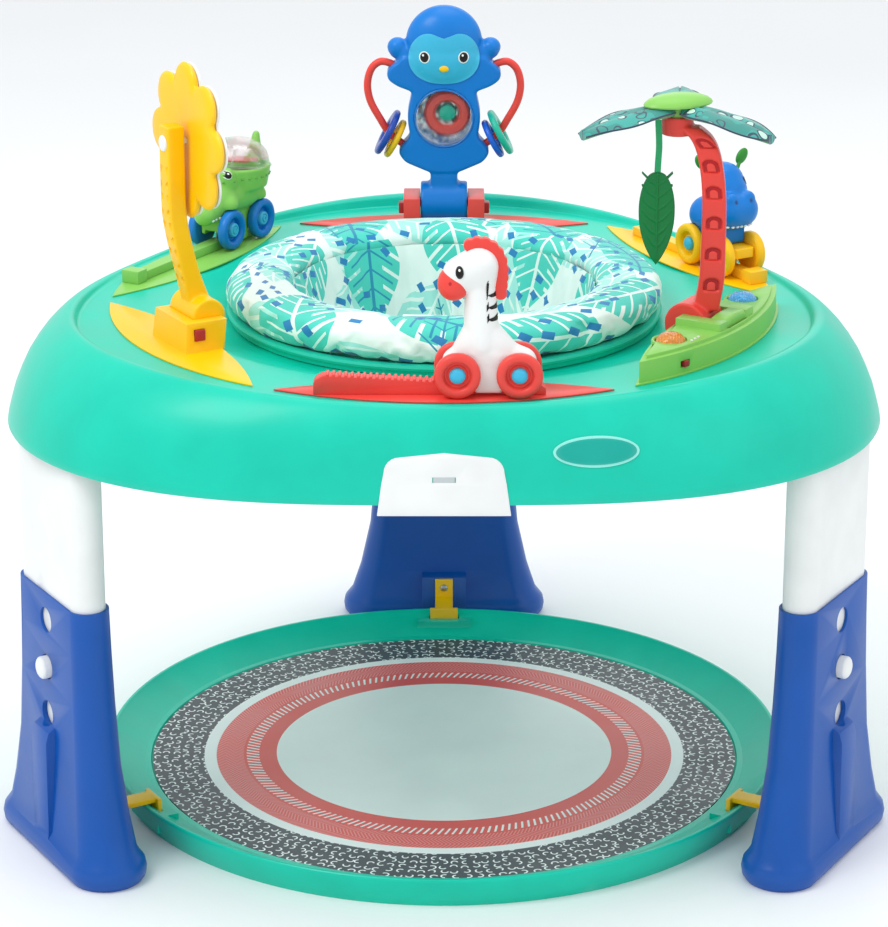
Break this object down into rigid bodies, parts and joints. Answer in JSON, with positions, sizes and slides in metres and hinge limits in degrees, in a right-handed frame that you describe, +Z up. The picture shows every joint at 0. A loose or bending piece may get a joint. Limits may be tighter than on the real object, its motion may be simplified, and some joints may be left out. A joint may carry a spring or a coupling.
{
  "type": "activity jumper",
  "caption": "Round activity table for a baby with a turning fabric seat in the middle, height-adjustable legs, a printed foot tray and toy stations round the deck.",
  "frame": {"origin": "centre of the foot tray's underside, on the floor under the seat axis", "axes": "+Z up along the seat axis, +X to the right and -Y towards the front, where the cover panel is"},
  "size_m": [0.878, 0.8262, 0.7655],
  "materials": {
    "teal": "satin moulded",
    "leg_blue": "satin moulded",
    "white": "satin moulded",
    "yellow": "satin moulded",
    "coral": "satin moulded",
    "red": "gloss moulded",
    "green": "satin moulded",
    "toy_blue": "satin moulded",
    "sky": "satin moulded",
    "amber": "translucent lens",
    "steel": "spring wire",
    "clear": "clear moulded plastic",
    "seat_fabric": "printed woven",
    "leaf_fabric": "printed woven",
    "print": "printed sheet",
    "teether": "soft moulded"
  },
  "bodies": {
    "base": {"leg_base_left": "leg_blue", "leg_base_right": "leg_blue", "leg_base_rear": "leg_blue", "foot_tray": "teal", "tray_mat": "print", "tray_links": "yellow"},
    "table": {"table_top": "teal", "front_cover": "white", "leg_post_left": "white", "leg_post_right": "white", "leg_post_rear": "white", "button_springs": "steel", "zebra_track": "coral", "gator_track": "green", "hippo_track": "yellow", "monkey_base": "coral", "flower_base": "yellow", "flower_arm": "yellow", "flower_pin": "white", "palm_base": "green", "palm_lamps": "amber", "palm_trunk": "coral", "palm_cap": "green", "palm_leaves": "leaf_fabric"},
    "seat": {"seat_ring": "teal", "seat_retainer": "white", "seat_cushion": "seat_fabric", "seat_sling": "seat_fabric"},
    "height_button_left": {"height_button_left": "white"},
    "height_button_right": {"height_button_right": "white"},
    "height_button_rear": {"height_button_rear": "white"},
    "zebra": {"zebra_body": "white", "zebra_trim": "coral", "zebra_axles": "sky"},
    "zebra_wheels_front": {"zebra_wheels_front": "coral"},
    "zebra_wheels_rear": {"zebra_wheels_rear": "coral"},
    "gator": {"gator_body": "green", "gator_dome": "clear", "gator_axles": "sky"},
    "gator_wheels_front": {"gator_wheels_front": "toy_blue"},
    "gator_wheels_rear": {"gator_wheels_rear": "toy_blue"},
    "hippo": {"hippo_body": "toy_blue", "hippo_cart": "yellow", "hippo_axles": "sky"},
    "hippo_wheels_front": {"hippo_wheels_front": "yellow"},
    "hippo_wheels_rear": {"hippo_wheels_rear": "yellow"},
    "monkey": {"monkey_body": "toy_blue", "monkey_face": "sky", "monkey_lens": "clear", "monkey_loops": "coral"},
    "monkey_rings_left": {"monkey_rings_left": "leg_blue"},
    "monkey_rings_right": {"monkey_rings_right": "teal"},
    "monkey_latch_left": {"monkey_latch_left": "red"},
    "monkey_latch_right": {"monkey_latch_right": "red"},
    "flower": {"flower_head": "yellow", "flower_face": "white"},
    "flower_latch": {"flower_latch": "red"},
    "palm_teether": {"palm_teether": "teether"},
    "palm_latch": {"palm_latch": "red"},
    "palm_switch": {"palm_switch": "red"}
  },
  "joints": [
    {"name": "height_adjust", "type": "slide", "parent": "base", "child": "table", "axis": [0, 0, 1], "range_m": [-0.048, 0.048], "deforming": ["height_button_left", "height_button_right", "height_button_rear"]},
    {"name": "seat_spin", "type": "hinge", "parent": "table", "child": "seat", "pos_m": [0, 0, 0.4955], "axis": [0, 0, 1], "continuous": true},
    {"name": "height_button_left_press", "type": "slide", "parent": "table", "child": "height_button_left", "axis": [-0.866, -0.5, 0], "range_m": [-0.0145, 0], "stiffness_N_per_m": 250, "springref_m": 0.004, "deforming": ["button_springs"]},
    {"name": "height_button_right_press", "type": "slide", "parent": "table", "child": "height_button_right", "axis": [0.866, -0.5, 0], "range_m": [-0.0145, 0], "stiffness_N_per_m": 250, "springref_m": 0.004, "deforming": ["button_springs"]},
    {"name": "height_button_rear_press", "type": "slide", "parent": "table", "child": "height_button_rear", "axis": [0, 1, 0], "range_m": [-0.0145, 0], "stiffness_N_per_m": 250, "springref_m": 0.004, "deforming": ["button_springs"]},
    {"name": "zebra_roll", "type": "slide", "parent": "table", "child": "zebra", "axis": [-1, 0, 0], "range_m": [-0.02, 0.085]},
    {"name": "zebra_wheels_front_spin", "type": "hinge", "parent": "zebra", "child": "zebra_wheels_front", "pos_m": [0.012, -0.301, 0.5187], "axis": [0, -1, 0], "continuous": true},
    {"name": "zebra_wheels_rear_spin", "type": "hinge", "parent": "zebra", "child": "zebra_wheels_rear", "pos_m": [0.068, -0.301, 0.5187], "axis": [0, -1, 0], "continuous": true},
    {"name": "gator_roll", "type": "slide", "parent": "table", "child": "gator", "axis": [-0.5, -0.866, 0], "range_m": [0, 0.116]},
    {"name": "gator_wheels_front_spin", "type": "hinge", "parent": "gator", "child": "gator_wheels_front", "pos_m": [-0.23667, 0.19207, 0.5187], "axis": [0.866, -0.5, 0], "continuous": true},
    {"name": "gator_wheels_rear_spin", "type": "hinge", "parent": "gator", "child": "gator_wheels_rear", "pos_m": [-0.20867, 0.24057, 0.5187], "axis": [0.866, -0.5, 0], "continuous": true},
    {"name": "hippo_roll", "type": "slide", "parent": "table", "child": "hippo", "axis": [0.5, -0.866, 0], "range_m": [-0.1, 0.01]},
    {"name": "hippo_wheels_front_spin", "type": "hinge", "parent": "hippo", "child": "hippo_wheels_front", "pos_m": [0.29567, 0.08988, 0.5187], "axis": [0.866, 0.5, 0], "continuous": true},
    {"name": "hippo_wheels_rear_spin", "type": "hinge", "parent": "hippo", "child": "hippo_wheels_rear", "pos_m": [0.26767, 0.13838, 0.5187], "axis": [0.866, 0.5, 0], "continuous": true},
    {"name": "monkey_rock", "type": "hinge", "parent": "table", "child": "monkey", "pos_m": [0, 0.292, 0.5203], "axis": [1, 0, 0], "range_deg": [-15, 15]},
    {"name": "monkey_rings_left_slide", "type": "slide", "parent": "monkey", "child": "monkey_rings_left", "axis": [-0.606, 0, 0.7955], "range_m": [0, 0.024]},
    {"name": "monkey_rings_right_slide", "type": "slide", "parent": "monkey", "child": "monkey_rings_right", "axis": [0.606, 0, 0.7955], "range_m": [0, 0.024]},
    {"name": "monkey_latch_left_press", "type": "slide", "parent": "table", "child": "monkey_latch_left", "axis": [1, 0, 0], "range_m": [0, 0.0024], "stiffness_N_per_m": 400, "springref_m": -0.002},
    {"name": "monkey_latch_right_press", "type": "slide", "parent": "table", "child": "monkey_latch_right", "axis": [-1, 0, 0], "range_m": [0, 0.0024], "stiffness_N_per_m": 400, "springref_m": -0.002},
    {"name": "flower_spin", "type": "hinge", "parent": "table", "child": "flower", "pos_m": [-0.24249, -0.14, 0.6915], "axis": [-0.866, -0.5, 0], "continuous": true},
    {"name": "flower_latch_press", "type": "slide", "parent": "table", "child": "flower_latch", "axis": [-0.5, 0.866, 0], "range_m": [0, 0.003], "stiffness_N_per_m": 400, "springref_m": -0.002},
    {"name": "teether_swing", "type": "hinge", "parent": "table", "child": "palm_teether", "pos_m": [0.19985, -0.13386, 0.7097], "axis": [0, 1, 0], "range_deg": [-6, 35]},
    {"name": "palm_latch_press", "type": "slide", "parent": "table", "child": "palm_latch", "axis": [0.5, 0.866, 0], "range_m": [0, 0.004], "stiffness_N_per_m": 400, "springref_m": -0.002},
    {"name": "palm_switch_slide", "type": "slide", "parent": "table", "child": "palm_switch", "axis": [0.7314, 0.682, 0], "range_m": [-0.0028, 0.0028]}
  ],
  "couplings": [
    {"joint": "zebra_wheels_front_spin", "follows": "zebra_roll", "rad_per_m": 47.619},
    {"joint": "zebra_wheels_rear_spin", "follows": "zebra_roll", "rad_per_m": 47.619},
    {"joint": "gator_wheels_front_spin", "follows": "gator_roll", "rad_per_m": 47.619},
    {"joint": "gator_wheels_rear_spin", "follows": "gator_roll", "rad_per_m": 47.619},
    {"joint": "hippo_wheels_front_spin", "follows": "hippo_roll", "rad_per_m": 47.619},
    {"joint": "hippo_wheels_rear_spin", "follows": "hippo_roll", "rad_per_m": 47.619}
  ]
}
